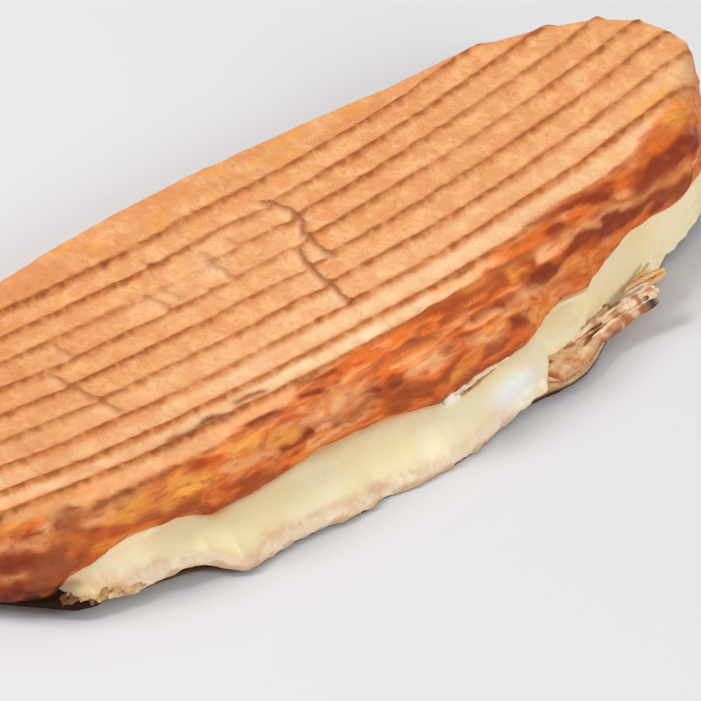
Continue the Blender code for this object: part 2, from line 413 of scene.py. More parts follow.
def ham_front(x):
    """The ham's edge on the open side: well inside the roll, and out at the rim where it sticks out."""
    return front(x) + (ham_inset + (ham_out - ham_inset) * flap(x)) * narrowing(x)


def beside_rim(places):
    """Places given as x, distance in from the outline, and height above the underside, in mm."""
    x, inset, height = np.array(places).T / 1000.0
    return np.stack([x, rim(x) + inset, height + lift(x)], axis=1)


def strip(places, width, thick, lean, ruffle, seed, count=70):
    """A flat ellipse, in mm, carried along a cubic near the places, tapering and waving like a tear."""
    even = np.linspace(0.0, 1.0, count)
    steps = np.linspace(0.0, 1.0, len(places))
    order = min(3, len(places) - 1)
    path = beside_rim(places)
    cubics = [np.polyfit(steps, path[:, i], order) for i in range(3)]
    spine = np.stack([np.polyval(cubic, even) for cubic in cubics], axis=1)
    ahead = np.gradient(spine, axis=0)
    ahead = ahead / np.linalg.norm(ahead, axis=1, keepdims=True)
    side = np.array(lean) - (ahead @ np.array(lean))[:, None] * ahead
    side = side / np.linalg.norm(side, axis=1, keepdims=True)
    rise = np.cross(ahead, side)
    turn = row(33, 2.0 * np.pi)[:, :-1]
    taper = np.sin(np.pi * (0.05 + 0.9 * even)) ** 0.5
    torn = 1.0 + 0.45 * grain(spine, 0.0022, seed)[:, None]
    torn += 0.25 * grain(spine, 0.0009, seed + 2)[:, None]
    reach = 0.5 * (width / 1000.0) * taper[:, None] * torn * np.cos(turn)
    body = 0.5 * (thick / 1000.0) * taper[:, None] * np.sin(turn)
    flat = spine[:, None] + side[:, None] * reach[..., None]
    wave = ruffle * mottle(flat, 0.0022, 2, seed + 1)
    across = np.broadcast_to(np.cos(turn), reach.shape)
    return flat + rise[:, None] * (body + wave)[..., None], across


def lump(place, radii, seed):
    """A crumb: an ellipsoid of the given radii in mm, pushed in and out by soft random hills."""
    polar = np.linspace(0.08, np.pi - 0.08, 25)[:, None]
    turn = row(29, 2.0 * np.pi)[:, :-1]
    ball = np.stack([
        np.cos(polar) + 0.0 * turn, np.sin(polar) * np.cos(turn), np.sin(polar) * np.sin(turn)
    ], axis=-1)
    middle = beside_rim([place])[0]
    ball *= (1.0 + 0.45 * mottle(ball, 0.8, 3, seed))[..., None]
    return middle + ball * np.array(radii) / 1000.0


ham_finish = Finish("cooked_ham", Roughness=0.38)
ham_finish.start((0.98, 0.51, 0.205))
ham_finish.tint((0.98, 0.61, 0.3), ham_finish.speckle(0.0026, 0.42, 0.58))
ham_finish.dapple((0.66, 0.24, 0.085), 0.6, 0.0017, 0.54, 0.68)
# Pale peach: the pale strips' own tone, and painted highlight on the flap's fold crests.
ham_finish.paint((0.97, 0.76, 0.5), "pale")
ham_finish.paint((0.94, 0.65, 0.47), "rosy")
# Brown: the grill's browning of edges and strips, and painted shade in the flap's fold hollows.
ham_finish.paint((0.47, 0.145, 0.044), "browned")
ham_finish.paint((0.045, 0.015, 0.008), "charred")
ham_finish.relief(ham_finish.speckle(0.0009, 0.2, 0.8), 0.0003, 0.7)

x = along(260, *ham_reach)
ham_back = back(x) - ham_inset * narrowing(x)
steps = row(81)
y = ham_front(x) + (ham_back - ham_front(x)) * steps**1.7
near = y - ham_front(x)
bare = flap(x) * (1.0 - soft((near - 0.003) / 0.003))
flat = np.stack([x + 0.5 * near, near, 0.0 * near], axis=-1)
folds = mottle(flat, (0.004, 0.0018, 1.0), 3, 15)
ham_under = base_over(x, y) + ham_gap
over = ham_under + ham_thick * (0.55 + 0.45 * soft(near / 0.0012)) + 0.0007 * folds * bare
ham_grid = rings(x, around(y, y), around(over, ham_under) + lift(x))
# Painted shade browns the hollows between the flap's folds; the fold crests get a painted highlight.
crease_shade = soft((-folds - 0.15) / 0.5) * bare
ham_edge = (1.0 - soft(near / 0.0012)) * flap(x)
ham_masks = {
    "pale": around(soft((folds - 0.2) / 0.6) * 0.8 * bare, 0.0 * y),
    "rosy": around(0.4 * bump(x, 0.06, 0.004) * bare, 0.0 * y),
    "browned": around(held(0.85 * crease_shade + 0.5 * ham_edge), 0.4 + 0.0 * y),
    "charred": 0.0,
}
ham_look = ham_finish.done()
ham_slices = skin("ham_slices", [(ham_grid, ham_masks)], ham_look)
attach(ham_slices, "root")
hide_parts("ham")

# How brown and how pale each tone of strip is.
tones = {"browned": (0.62, 0.1), "mixed": (0.22, 0.6), "pale": (0.05, 0.8), "rosy": (0.02, 0.4)}
ham_ruffle = 0.0006
curled = []
# Each strip: its path, width and thickness in mm, the way it leans, and its tone.
for places, width, thick, lean, tone in (
    (((37.1, 6.8, 5.2), (42.6, 6.6, 5.5), (48.6, 6.1, 5.7), (54.0, 4.9, 6.0), (59.0, 3.7, 6.4),
      (63.0, 2.4, 6.8)), 1.7, 1.0, (0.0, 0.4, 1.0), "pale"),
    (((38.5, 5.9, 4.6), (43.0, 5.7, 4.9), (48.6, 5.0, 5.0), (54.0, 3.9, 5.2), (59.0, 2.6, 5.7)),
     0.9, 0.8, (0.0, 0.6, 0.8), "browned"),
    (((40.0, 2.2, 3.6), (45.0, 2.4, 3.9), (50.0, 2.2, 4.2), (55.0, 2.4, 4.4)),
     1.5, 0.9, (0.0, 0.6, 0.8), "pale"),
    (((49.0, 2.6, 3.4), (53.0, 1.9, 3.8), (57.4, 1.3, 4.3), (62.0, -0.1, 4.8), (66.1, -1.8, 5.2),
      (70.6, -3.3, 5.6)), 2.4, 1.0, (0.0, 0.5, 0.9), "browned"),
    (((51.5, 3.0, 4.9), (56.0, 2.2, 5.3), (60.0, 1.3, 5.6), (64.5, 0.0, 6.0), (68.5, -1.5, 6.2),
      (71.5, -2.7, 6.2)), 1.5, 0.9, (0.1, 0.8, 0.6), "pale"),
    (((56.0, 3.6, 5.9), (60.0, 2.2, 6.4), (64.5, 0.7, 6.8), (68.5, -0.9, 7.0), (72.6, -2.7, 6.6)),
     2.0, 0.9, (0.2, 0.9, 0.5), "mixed"),
    (((60.5, 3.0, 6.4), (64.0, 2.1, 7.0), (68.0, 0.8, 7.3), (72.4, -1.4, 7.0)),
     1.6, 0.8, (0.3, 0.9, 0.4), "rosy"),
    (((63.5, 0.2, 6.2), (67.0, -0.9, 6.6), (70.8, -2.2, 6.6)), 1.1, 0.7, (0.2, 0.8, 0.5), "browned"),
    (((31.8, 7.4, 5.0), (34.0, 4.1, 4.0), (36.6, 0.9, 3.2)), 1.2, 1.0, (1.0, 0.3, 0.2), "browned"),
    (((33.2, 7.2, 5.2), (35.0, 4.2, 4.4), (37.0, 1.3, 3.5)), 0.8, 0.9, (1.0, 0.3, 0.2), "pale"),
    (((34.6, 7.2, 5.4), (35.8, 4.4, 4.9), (37.2, 1.8, 3.9)), 1.1, 1.0, (1.0, 0.3, 0.2), "browned"),
    (((37.4, 6.5, 5.8), (37.9, 5.0, 5.4), (37.8, 2.9, 4.6)), 1.0, 0.9, (1.0, 0.3, 0.2), "browned"),
):
    body, across = strip(places, width, thick, lean, ham_ruffle, 200 + 4 * len(curled))
    worn = mottle(body, 0.002, 2, 77)
    low = held(-across)
    brown, light = tones[tone]
    scorched = bump(body[..., 0], 0.069, 0.0016) + bump(body[..., 0], 0.0565, 0.0016) * low
    curled.append((body, {
        "pale": held(light + 0.6 * worn),
        "rosy": 0.7 if tone == "rosy" else 0.1,
        "browned": held(brown - 0.7 * worn + 0.35 * low),
        "charred": scorched * (tone == "browned"),
    }))
ham_edges = skin("ham_edges", curled, ham_look)
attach(ham_edges, "root")
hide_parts("ham")

# ------------------------------------------------------------
# Cheese: a thick layer melted by the grill. It runs through the sandwich and sags out of the
# open side, down to the rim of the bottom bread, where it set again in a smooth sloping apron.

cheese_thick = 0.0045
cheese_rim = 0.0014
cheese_gap, layer_gaps = 0.0004, 0.0009
cheese_reach = (-0.79, 0.97)
filling_left, filling_right, filling_at_tip = (-0.86, -0.62), (0.55, 0.95), 0.4
# Lower edge of the crust and front edge of the cheese, as for the torn edge.
crust_edge = (
    (-0.126, 0.3), (-0.112, 0.8), (-0.106, 1.0), (-0.101, 2.2), (-0.096, 4.2), (-0.088, 5.7),
    (-0.08, 7.4), (-0.069, 9.4), (-0.061, 7.6), (-0.05, 9.1), (-0.04, 11.1), (-0.027, 13.1),
    (-0.011, 11.9), (0.0036, 7.8), (0.012, 8.8), (0.019, 9.2), (0.0235, 8.7), (0.033, 8.4),
    (0.0446, 11.2), (0.049, 11.2), (0.0565, 8.6), (0.06, 10.1), (0.069, 10.5), (0.078, 10.6),
    (0.087, 7.9), (0.096, 4.6), (0.104, 2.2), (0.126, 1.0),
)
cheese_edge = (
    (-0.126, 9.0), (-0.099, 9.0), (-0.0972, 4.0), (-0.0945, 1.2), (-0.09, 0.2), (0.0325, 0.1),
    (0.036, 4.6), (0.0385, 7.2), (0.043, 7.1), (0.049, 6.6), (0.054, 5.3), (0.059, 4.2),
    (0.0625, 4.1), (0.0655, 3.0), (0.07, 2.2), (0.077, 1.7), (0.083, 0.7), (0.089, 0.2),
    (0.126, 0.2),
)


def filling(x):
    """Share of the full thickness of the filling: none at the left end, some at the right."""
    left = soft((share(x) - filling_left[0]) / (filling_left[1] - filling_left[0]))
    right = soft((share(x) - filling_right[0]) / (filling_right[1] - filling_right[0]))
    return left * (1.0 - (1.0 - filling_at_tip) * right)


def crust_front(x):
    """Lower edge of the top crust on the open side, always a little in from the torn edge."""
    inset = np.maximum(line(x, crust_edge) - line(x, front_edge), 0.0003)
    return front(x) + inset * held(4.0 * narrowing(x))


cheese_finish = Finish(
    "melted_cheese", Roughness=0.38, Subsurface_Weight=0.12, Subsurface_Radius=(0.003, 0.002, 0.001)
)
cheese_finish.start((0.94, 0.77, 0.44))
cheese_finish.tint((0.94, 0.82, 0.54), cheese_finish.speckle(0.014, 0.38, 0.62))
cheese_finish.dapple((0.95, 0.7, 0.33), 0.5, 0.007, 0.55, 0.75)
cheese_finish.paint((0.8, 0.52, 0.31), "rosy")
# Painted highlight: a thin light line along the cheese's lower edge; on the thin strips, pale cheese
# with a painted highlight.
cheese_finish.paint((0.95, 0.8, 0.64), "pale_and_highlight")
cheese_finish.paint((0.9, 0.5, 0.16), "golden")
# Painted highlight: a milky white spot on the bulge of the apron; on the thin strips, pale cheese with
# a painted highlight.
cheese_finish.paint((0.99, 0.96, 0.9), "milky_and_highlight")
cheese_finish.paint((0.42, 0.16, 0.05), "browned")
cheese_finish.paint((0.06, 0.022, 0.01), "charred")
cheese_finish.relief(cheese_finish.speckle(0.004, 0.2, 0.8), 0.0003, 0.25)

x = along(420, *cheese_reach)
teeth = 0.0004 * grain(on_axis(x), 0.0026, 10) + 0.00022 * grain(on_axis(x), 0.001, 11)
cheese_front = front(x) + line(x, cheese_edge) * narrowing(x)
cheese_back = back(x) - 0.003 * narrowing(x)
apron_top = cheese_front + np.maximum(1.2 * (crust_front(x) - cheese_front), 0.003 * narrowing(x))
apron = row(60)
inner = row(20)[:, 1:]
y = np.concatenate([
    cheese_front + (apron_top - cheese_front) * apron,
    apron_top + (cheese_back - apron_top) * inner,
], axis=1)
on_ham = soft((y - ham_front(x)) / 0.003 + 1.0) * flap(x) + soft((y - front(x) - 0.008) / 0.004)
rest = base_over(x, y) + cheese_gap + (0.0005 + ham_thick) * held(on_ham) * filling(x) ** 0.5
hung = covered(x) * (1.0 - soft((y - front(x)) / 0.0014))
rest += (curl(x) + cheese_gap - rest) * hung
slope = held((y - cheese_front) / (apron_top - cheese_front))
rear = held((cheese_back - y) / 0.004) ** 0.6
full = base_thick + ham_thick + cheese_thick + layer_gaps
rim_thick = cheese_rim * (1.0 - 0.45 * covered(x))
low = rest + rim_thick * np.sqrt(held((y - cheese_front) / 0.0012))
high = base_lip + cheese_rim + (full - base_lip - cheese_rim) * filling(x)
over = low + np.maximum(high - low, 0.0) * slope**0.88 * rear
below = rest - 0.0002
hanging = (1.0 - soft((y - cheese_front) / 0.002)) * soft((1.0 - flap(x)) / 0.3)
below -= np.maximum(below - base_over(x, y) - 0.0001, 0.0) * hanging
ring_y = around(y, y)
ring_y += teeth * narrowing(x) * (1.0 - soft((ring_y - cheese_front) / 0.0018))
cheese_grid = rings(x, ring_y, around(over, below) + lift(x))
upper = around(np.ones_like(y), np.zeros_like(y))
middle_stretch = soft((x + 0.1) / 0.012) * (1.0 - soft((x - 0.016) / 0.012))
hem = 1.0 - soft((ring_y - cheese_front) / 0.0003)
down = around(slope, slope)
shown = upper * (1.0 - soft((down - 0.85) / 0.15))
shown[:, :1] = 0.0
sag = 0.0005 * grain(cheese_grid, (0.02, 0.014, 0.01), 5) + 0.00012 * grain(cheese_grid, 0.006, 6)
sag += 0.0009 * bump(x, 0.0245, 0.007) * bump(down, 0.35, 0.28)
crumbly = 1.0 - soft((ring_y - cheese_front) / 0.0026 - 0.3 * grain(cheese_grid, 0.008, 7))
calm_left = 1.0 - 0.8 * soft((-0.076 - x) / 0.006)
sag += 0.0002 * mottle(cheese_grid, 0.0016, 2, 16) * crumbly * calm_left
cheese_grid += facing(cheese_grid) * (sag * shown)[..., None]
uneven = grain(cheese_grid, (0.01, 0.004, 0.01), 8)
low_edge = 1.0 - soft((ring_y - cheese_front) / 0.0024 - 0.3 - 0.6 * uneven)
# Painted highlight: a thin light line just behind the cheese's lower edge.
edge_highlight = bump(ring_y - cheese_front, 0.0006, 0.0005) * (0.5 + 0.9 * grain(cheese_grid, 0.004, 9))
under_crust = soft((down - 0.68) / 0.28) * bump(x, -0.06, 0.007)
under_crust += 0.2 * soft((down - 0.85) / 0.15)
left_gold = 0.75 * bump(x, -0.092, 0.005) * (1.0 - soft((down - 0.45) / 0.3))
left_brown = np.clip(grain(cheese_grid, 0.004, 13) + 0.1, 0.0, 0.7) * soft((-0.084 - x) / 0.01)
speckled = np.clip(mottle(cheese_grid, 0.0012, 2, 14), -0.5, 0.5)
cheese_masks = {
    "rosy": held((0.75 + 0.6 * speckled) * low_edge * middle_stretch),
    "pale_and_highlight": np.clip(edge_highlight * middle_stretch, 0.0, 0.55),
    "golden": held((0.9 * under_crust + left_gold) * (0.6 + grain(cheese_grid, 0.006, 12))),
    # Painted highlight: a milky white spot on the apron's bulge.
    "milky_and_highlight": held(1.2 * bump(x, 0.0245, 0.0075) * bump(down, 0.31, 0.26)),
    "browned": left_brown * low_edge + 0.35 * soft(-1.0 + 2.0 * hem) * middle_stretch,
    "charred": 0.0,
}
cheese_look = cheese_finish.done()
melted_layer = skin("melted_layer", [(cheese_grid, cheese_masks)], cheese_look)
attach(melted_layer, "root")
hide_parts("cheese")

crisp_lean, crisp_ruffle = (0.0, 0.5, 0.8), 0.0005
crisps = []
# Each strip: its path, width and thickness in mm, then how golden, browned and milky it is; milky is
# pale cheese with a painted highlight.
for places, width, thick, golden, browned, milky_and_highlight in (
    (((66.8, 5.8, 5.6), (70.7, 4.8, 5.6), (75.5, 2.9, 5.2), (80.6, 0.4, 4.6)), 1.4, 0.9, 0.9, 0.0, 0.0),
    (((69.0, 5.0, 6.0), (73.0, 4.6, 6.2), (77.8, 4.2, 6.4)), 1.1, 0.9, 0.8, 0.15, 0.0),
    (((67.5, 4.4, 5.0), (72.4, 2.6, 4.7), (76.6, 0.9, 4.6), (80.0, -0.2, 4.2)),
     1.2, 0.9, 0.7, 0.2, 0.0),
    (((66.0, 4.6, 6.2), (70.0, 3.9, 6.6), (74.5, 2.2, 6.4), (79.0, 0.9, 5.6)), 0.9, 0.8, 0.6, 0.1, 0.0),
    (((65.0, 3.8, 6.4), (69.0, 2.6, 6.6), (73.0, 1.2, 6.2)), 0.9, 0.8, 0.3, 0.15, 0.4),
    (((5.2, 9.4, 12.0), (9.4, 8.8, 11.7), (12.9, 8.3, 11.7), (17.7, 8.9, 12.1), (22.0, 8.9, 12.4),
      (26.0, 8.0, 12.4)), 1.5, 1.1, 0.35, 0.1, 0.25),
    (((5.0, 8.9, 11.6), (7.0, 8.3, 11.2), (9.5, 7.8, 10.9)), 2.6, 1.8, 0.0, 0.0, 0.5),
    (((9.8, 7.9, 10.6), (14.0, 8.0, 10.9), (18.0, 8.4, 11.2), (22.0, 8.6, 11.4)),
     0.7, 0.7, 0.6, 0.75, 0.0),
):
    body = strip(places, width, thick, crisp_lean, crisp_ruffle, 300 + 4 * len(crisps))[0]
    worn = mottle(body, 0.0022, 2, 79)
    crisps.append((body, {
        "rosy": 0.2, "pale_and_highlight": milky_and_highlight, "golden": held(golden + 0.5 * worn),
        "milky_and_highlight": held(milky_and_highlight + 0.3 * worn) * (milky_and_highlight > 0), "charred": 0.0,
        "browned": held(browned * (1.0 - 1.2 * worn)),
    }))
# Each crumb: its place and radii in mm, then how golden, browned and charred it is.
for place, radii, golden, browned, charred in (
    ((-95.8, 3.0, 2.2), (2.9, 1.7, 1.5), 0.7, 0.25, 0.0),
    ((-93.0, 2.4, 2.2), (2.6, 1.6, 1.4), 0.55, 0.05, 0.0),
    ((-94.6, 1.4, 1.5), (2.4, 1.5, 1.3), 0.75, 0.45, 0.0),
    ((-91.4, 1.3, 1.5), (2.3, 1.5, 1.3), 0.6, 0.6, 0.1),
    ((-97.6, 1.7, 1.3), (2.4, 1.6, 1.2), 0.7, 0.95, 0.6),
    ((-88.2, 1.4, 1.6), (2.6, 1.2, 1.0), 0.4, 0.35, 0.0),
    ((-93.4, 0.5, 0.9), (2.6, 1.2, 0.9), 0.6, 0.9, 0.7),
    ((-84.6, 1.5, 1.7), (2.8, 0.9, 0.9), 0.5, 0.45, 0.0),
):
    crumb = lump(place, radii, 330 + len(crisps))
    worn = mottle(crumb, 0.0014, 2, 81)
    crisps.append((crumb, {
        "rosy": 0.3, "pale_and_highlight": 0.0, "golden": golden, "milky_and_highlight": 0.0, "charred": charred,
        "browned": held(browned + 0.7 * worn),
    }))
cheese_crisps = skin("cheese_crisps", crisps, cheese_look)
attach(cheese_crisps, "root")
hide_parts("cheese")

# ------------------------------------------------------------
# Top crust: the upper half of the roll. The grill's hot ribs pressed a row of brown grooves into
# its flattened top, cracked the thin crust here and there, and left the rolled side rough and dark.

pressed_height = 0.0226
crust_gap = 0.0006
rear_seat_height, rear_tuck, rear_bevel, rear_round = 0.0075, 0.0015, 0.0055, 0.0042
groove_lines = (
    -0.0333, -0.0259, -0.0195, -0.0116, -0.0035, 0.0046, 0.0127, 0.0207, 0.0282, 0.0358
)
groove_depth, groove_spread = 0.0007, 0.00095
rib_swell = 0.00018
crack_depth, crack_lift, crack_spread = 0.001, 0.0006, 0.00085
# Where the flat, ribbed top ends: places along the roll in m, and distance from its centre line in mm.
rib_limit = (
    (-0.126, -24.0), (-0.108, -27.0), (-0.095, -31.5), (-0.08, -33.8), (-0.058, -32.5),
    (-0.044, -31.3), (-0.03, -30.0), (-0.016, -26.4), (0.01, -26.0), (0.028, -25.0),
    (0.041, -20.6), (0.06, -19.8), (0.085, -19.5), (0.099, -16.5), (0.112, -13.0), (0.126, -9.0),
)
# Each crack's path over the top, from the far side towards the open side, in m.
cracks = (
    ((0.0151, 0.0296), (0.0162, 0.0265), (0.0174, 0.0228), (0.0165, 0.0184), (0.0137, 0.0143),
     (0.0129, 0.0084), (0.0132, 0.004)),
    ((0.009, 0.01), (0.0081, 0.0091), (0.0063, 0.0031), (0.0054, -0.0012), (0.0047, -0.0056),
     (0.0043, -0.0118)),
    ((-0.0554, 0.0206), (-0.0557, 0.0158), (-0.0558, 0.0134)),
    ((-0.0638, 0.0127), (-0.0637, 0.0061), (-0.0625, -0.0009), (-0.0613, -0.0079)),
    ((-0.0095, 0.0216), (-0.0087, 0.0168), (-0.009, 0.012)),
    ((-0.0282, 0.0209), (-0.027, 0.0172), (-0.0278, 0.0129)),
    ((-0.0203, 0.0315), (-0.0201, 0.0283)),
    ((-0.0082, 0.0247), (-0.0079, 0.0209)),
    ((-0.0236, 0.021), (-0.0228, 0.0151)),
    ((-0.0162, 0.0142), (-0.0165, 0.0094)),
    ((-0.0006, 0.025), (-0.0002, 0.0215)),
)


def crack(x, y, path):
    """How far a point lies to the right of a crack, and how much it is level with it."""
    path_x, path_y = (np.array(values)[::-1] for values in zip(*path))
    aside = x - np.interp(y, path_y, path_x)
    level = soft((y - path_y[0]) / 0.001 + 1.0) * soft((path_y[-1] - y) / 0.001 + 1.0)
    return aside, level


# Streaks and spots of the browned side: both ends as x, y from the roll's centre line and height,
# then half the width, all in mm, and the strength.
# The ridge strokes are painted highlight: pale peach streaks on raised streaks, where these catch the
# light.
ridge_highlight_strokes = (
    ((47.9, -28.5, 22.0), (64.0, -28.5, 21.1), 0.8, 1.5),
    ((64.0, -28.5, 21.1), (80.8, -26.0, 17.3), 0.7, 1.5),
    ((80.8, -26.0, 17.3), (105.0, -23.1, 13.4), 0.7, 1.5),
    ((46.3, -29.1, 21.5), (67.3, -28.5, 20.1), 0.5, 0.8),
    ((62.8, -21.5, 22.5), (65.0, -21.6, 22.4), 0.8, 0.8),
    ((77.1, -24.7, 20.7), (79.7, -24.7, 20.3), 0.8, 0.8),
    ((58.7, -22.0, 22.3), (60.9, -22.4, 22.3), 0.8, 0.7),
    ((85.5, -20.9, 22.7), (88.4, -21.4, 23.0), 0.8, 0.8),
    ((29.0, -35.9, 22.1), (49.8, -33.2, 19.3), 0.9, 0.9),
    ((20.7, -21.7, 22.5), (38.7, -22.2, 22.9), 1.1, 1),
    ((-51.0, -28.1, 22.3), (-28.6, -28.3, 22.3), 1.1, 0.9),
    ((-21.1, -35.8, 20.3), (-17.5, -36.4, 20.4), 1.4, 0.9),
    ((-31.5, -36.2, 20.6), (-26.7, -36.1, 19.8), 1.4, 0.8),
    ((-1.6, -38.1, 20.9), (6.8, -38.8, 21.5), 0.8, 0.8),
    ((-31.0, -37.6, 15.8), (-11.1, -38.6, 13.7), 0.4, 0.8),
    ((-88.3, -28.4, 22.3), (-78.0, -28.6, 22.3), 1.1, 0.9),
    ((-52.8, -36.1, 21.8), (-43.9, -36.4, 22.0), 0.8, 0.5),
    ((11.2, -34.1, 23.8), (21.3, -33.2, 23.2), 0.8, 0.6),
    ((15.7, -39.2, 20.2), (25.1, -39.1, 19.4), 0.8, 0.7),
    ((-70.4, -30.2, 22.2), (-60.9, -30.3, 22.2), 0.7, 0.8),
    ((-57.0, -29.7, 22.3), (-45.4, -30.9, 22.9), 0.5, 0.7),
    ((-110.4, -28.5, 15.6), (-101.8, -32.6, 16.2), 1.1, 0.9),
    ((-100.7, -31.4, 19.0), (-97.4, -31.7, 19.8), 0.9, 1),
    ((-105.9, -25.2, 22.8), (-101.8, -25.4, 23.0), 1.1, 0.8),
    ((-111.0, -29.0, 6.9), (-107.6, -31.6, 8.3), 1.1, 0.7),
    ((-91.5, -34.1, 19.4), (-85.0, -34.9, 20.0), 1.1, 0.8),
    ((0.7, -36.9, 22.3), (9.7, -37.7, 22.7), 1.4, 0.35),
    ((-2.2, -39.4, 20.8), (5.6, -40.1, 21.1), 1.1, 0.35),
)
# The hollow strokes are the side's dark red-brown streaks, made darker with painted shade where they
# lie low.
shaded_hollow_strokes = (
    ((83.1, -24.9, 19.6), (91.2, -23.6, 19.7), 1.4, 1),
    ((91.2, -23.6, 19.7), (108.5, -20.1, 16.2), 1.4, 1),
    ((54.6, -29.9, 21.0), (69.4, -28.7, 18.4), 1.2, 1.2),
    ((69.4, -28.7, 18.4), (88.5, -26.3, 14.3), 1.2, 1.2),
    ((88.5, -26.3, 14.3), (100.3, -25.1, 11.2), 1.0, 1.2),
    ((68.0, -23.8, 22.7), (73.3, -24.4, 22.0), 1.1, 0.7),
    ((39.5, -32.9, 21.6), (48.5, -31.8, 19.8), 1.1, 1),
    ((29.6, -34.9, 22.9), (33.0, -34.7, 22.7), 1.1, 0.9),
    ((54.3, -25.2, 22.8), (58.1, -24.6, 22.9), 1.1, 0.9),
    ((28.7, -38.6, 19.3), (33.9, -37.8, 17.8), 1.1, 0.8),
    ((20.5, -34.7, 22.8), (29.0, -35.0, 23.0), 0.8, 0.8),
    ((11.7, -20.4, 23.0), (29.1, -20.9, 22.8), 0.5, 0.7),
    ((29.1, -20.9, 22.8), (41.5, -19.5, 23.0), 0.5, 0.8),
    ((-48.5, -24.5, 22.7), (-45.5, -25.1, 23.4), 1.1, 0.8),
    ((-43.0, -31.4, 22.6), (-35.9, -32.0, 22.9), 1.1, 1),
    ((-27.4, -30.3, 23.1), (-18.6, -32.3, 22.6), 0.8, 0.8),
    ((-22.5, -36.7, 17.3), (-13.1, -38.2, 16.7), 0.9, 0.7),
    ((-10.0, -37.4, 19.7), (-5.1, -38.6, 20.1), 0.9, 0.6),
    ((-39.6, -37.5, 17.8), (-29.6, -36.8, 17.5), 0.8, 0.7),
    ((4.1, -32.5, 22.9), (7.6, -34.0, 23.7), 0.9, 0.5),
    ((-90.4, -34.1, 20.3), (-86.9, -34.6, 21.1), 0.8, 0.5),
    ((-72.9, -33.2, 22.2), (-65.9, -33.5, 22.6), 0.8, 0.6),
    ((-82.8, -34.4, 21.5), (-79.7, -33.9, 22.2), 0.8, 0.6),
    ((7.6, -38.0, 22.3), (17.0, -37.8, 21.8), 0.8, 0.4),
    ((-62.9, -26.1, 23.5), (-47.4, -24.6, 22.9), 1.0, 0.8),
    ((-59.5, -24.7, 22.6), (-53.9, -26.1, 23.6), 0.8, 0.6),
    ((-39.6, -22.9, 22.3), (-32.2, -23.2, 22.3), 0.8, 0.7),
    ((-110.9, -29.1, 11.4), (-108.1, -31.6, 13.1), 1.9, 1.2),
    ((-104.1, -32.7, 12.5), (-99.4, -34.3, 13.2), 1.4, 1.3),
    ((-96.2, -31.9, 19.8), (-93.7, -32.2, 20.6), 1.4, 1.3),
    ((-100.1, -35.1, 10.6), (-93.4, -35.6, 11.6), 1.4, 0.7),
    ((-104.3, -34.1, 8.4), (-97.1, -35.4, 7.9), 1.3, 1.3),
    ((-94.2, -34.0, 16.6), (-89.3, -34.7, 17.2), 0.9, 0.4),
    ((-106.6, -30.5, 17.8), (-102.1, -31.7, 18.3), 0.8, 0.6),
    ((-85.8, -35.8, 14.7), (-82.6, -36.6, 15.2), 0.7, 0.4),
    ((-111.0, -28.0, 4.0), (-97.0, -35.5, 4.5), 1.6, 1),
    ((-107.5, -31.4, 5.8), (-105.3, -33.3, 4.9), 1.1, 0.9),
    ((53.3, -19.6, 22.9), (63.9, -20.7, 22.6), 1.1, 0.7),
    ((63.9, -20.7, 22.6), (76.0, -22.4, 21.9), 1.1, 0.9),
    ((44.5, -32.0, 20.9), (56.1, -31.6, 21.1), 1.1, 0.8),
    ((-11.8, -36.7, 19.7), (-17.5, -35.8, 19.2), 1.1, 0.7),
    ((-24.4, -26.9, 22.5), (-16.0, -28.8, 22.9), 1.1, 0.6),
)
gold_strokes = (
    ((83.6, -16.2, 22.2), (86.9, -16.2, 22.1), 1.4, 0.4),
    ((101.7, -16.6, 21.9), (109.0, -15.5, 20.9), 1.6, 0.9),
    ((38.3, -29.5, 22.7), (40.9, -29.5, 22.4), 1.1, 0.9),
    ((54.1, -34.6, 19.1), (56.4, -34.9, 19.1), 1.1, 0.8),
    ((37.2, -37.6, 16.2), (42.4, -36.3, 14.4), 1.4, 0.8),
    ((26.6, -26.6, 22.9), (31.7, -26.2, 23.4), 1.4, 0.4),
    ((-39.8, -37.0, 20.6), (-33.9, -36.3, 20.1), 1.4, 1),
    ((-50.7, -36.3, 22.1), (-45.4, -35.6, 22.2), 1.4, 1),
    ((-70.9, -35.8, 18.1), (-66.3, -36.6, 20.2), 1.6, 1),
    ((-63.6, -38.7, 19.8), (-61.0, -39.0, 20.0), 1.4, 0.9),
    ((-80.2, -35.2, 20.0), (-76.5, -35.3, 20.2), 1.6, 0.8),
    ((-108.9, -27.5, 19.7), (-105.9, -28.4, 20.7), 1.1, 0.7),
    ((-101.1, -28.6, 22.3), (-96.2, -28.6, 22.3), 1.1, 0.6),
    ((-92.5, -28.0, 22.4), (-84.5, -29.0, 22.5), 1.1, 0.5),
    ((-86.0, -35.4, 17.9), (-81.4, -35.8, 18.1), 1.1, 0.6),
    ((99.8, -9.5, 22.3), (108.9, -9.9, 22.6), 1.6, 0.8),
)
smudges = {"ridge_highlight": ridge_highlight_strokes, "shaded_hollow": shaded_hollow_strokes, "gold": gold_strokes}
smudge_spread = 1.45


def smudge(points, first, second, width):
    """A bell of the distance from the points to the straight line between two places in mm."""
    start, stop = np.array(first) / 1000.0, np.array(second) / 1000.0
    run = stop - start
    share_along = held((points - start) @ run / (run @ run))
    away = np.linalg.norm(points - start - share_along[..., None] * run, axis=-1)
    return np.exp(-((away / (smudge_spread * width / 1000.0)) ** 2))


